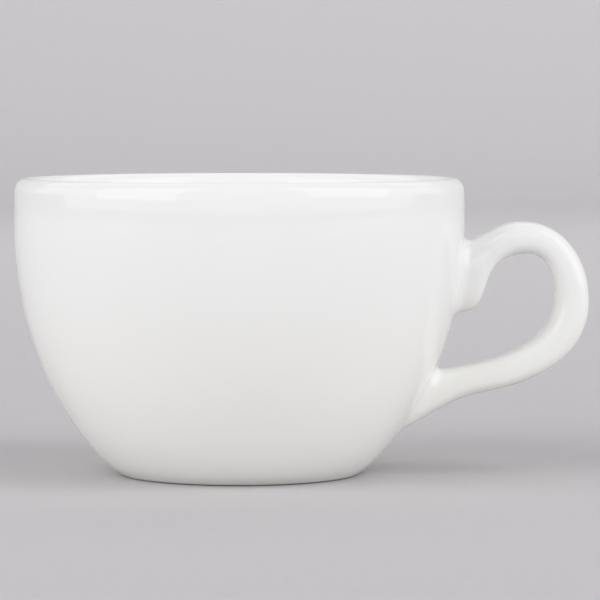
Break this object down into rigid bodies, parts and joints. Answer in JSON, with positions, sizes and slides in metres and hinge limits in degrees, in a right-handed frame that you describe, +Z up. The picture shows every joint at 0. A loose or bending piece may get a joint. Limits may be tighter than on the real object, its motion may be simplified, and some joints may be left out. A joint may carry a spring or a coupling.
{
  "type": "espresso cup",
  "caption": "Round-bellied white porcelain espresso cup with a rounded lip, a recessed foot ring and an ear-shaped loop handle, for serving a short coffee.",
  "frame": {"origin": "on the table, at the middle of the cup's overall length and width, handle included", "axes": "+X points along the handle, away from the bowl; +Y points to the back of the cup in the reference view; +Z points up"},
  "size_m": [0.0868, 0.068, 0.0447],
  "materials": {
    "glazed_porcelain": "gloss",
    "glazed_slip": "gloss"
  },
  "bodies": {
    "root": {"bowl": "glazed_porcelain", "handle": "glazed_porcelain", "upper_slip_joint": "glazed_slip", "lower_slip_joint": "glazed_slip"}
  },
  "joints": []
}
